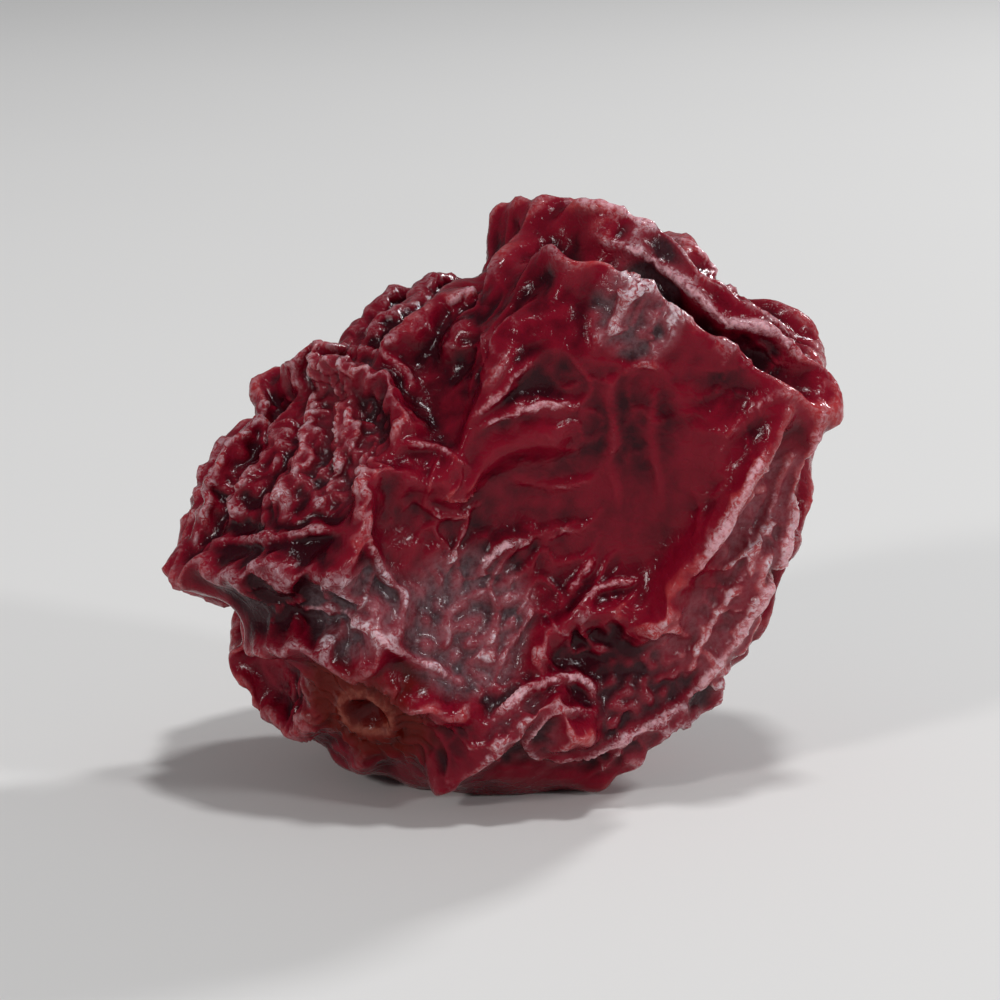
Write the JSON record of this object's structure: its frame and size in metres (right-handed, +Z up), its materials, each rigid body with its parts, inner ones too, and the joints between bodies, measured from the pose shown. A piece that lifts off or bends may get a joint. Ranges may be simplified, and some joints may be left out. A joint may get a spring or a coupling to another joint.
{
  "type": "dried cranberry",
  "caption": "Whole dried cranberry: wrinkled glossy dark-red skin with a caved-in face, folded rims and a stalk scar.",
  "frame": {"origin": "middle of the underside of the berry's bounding box", "axes": "+Z up as the berry lies, +X its longest way, -Y the side with the caved-in face"},
  "size_m": [0.0144, 0.011, 0.0128],
  "materials": {
    "skin": "glossy, wrinkled"
  },
  "bodies": {
    "root": {"dried_cranberry": "skin"}
  },
  "joints": []
}
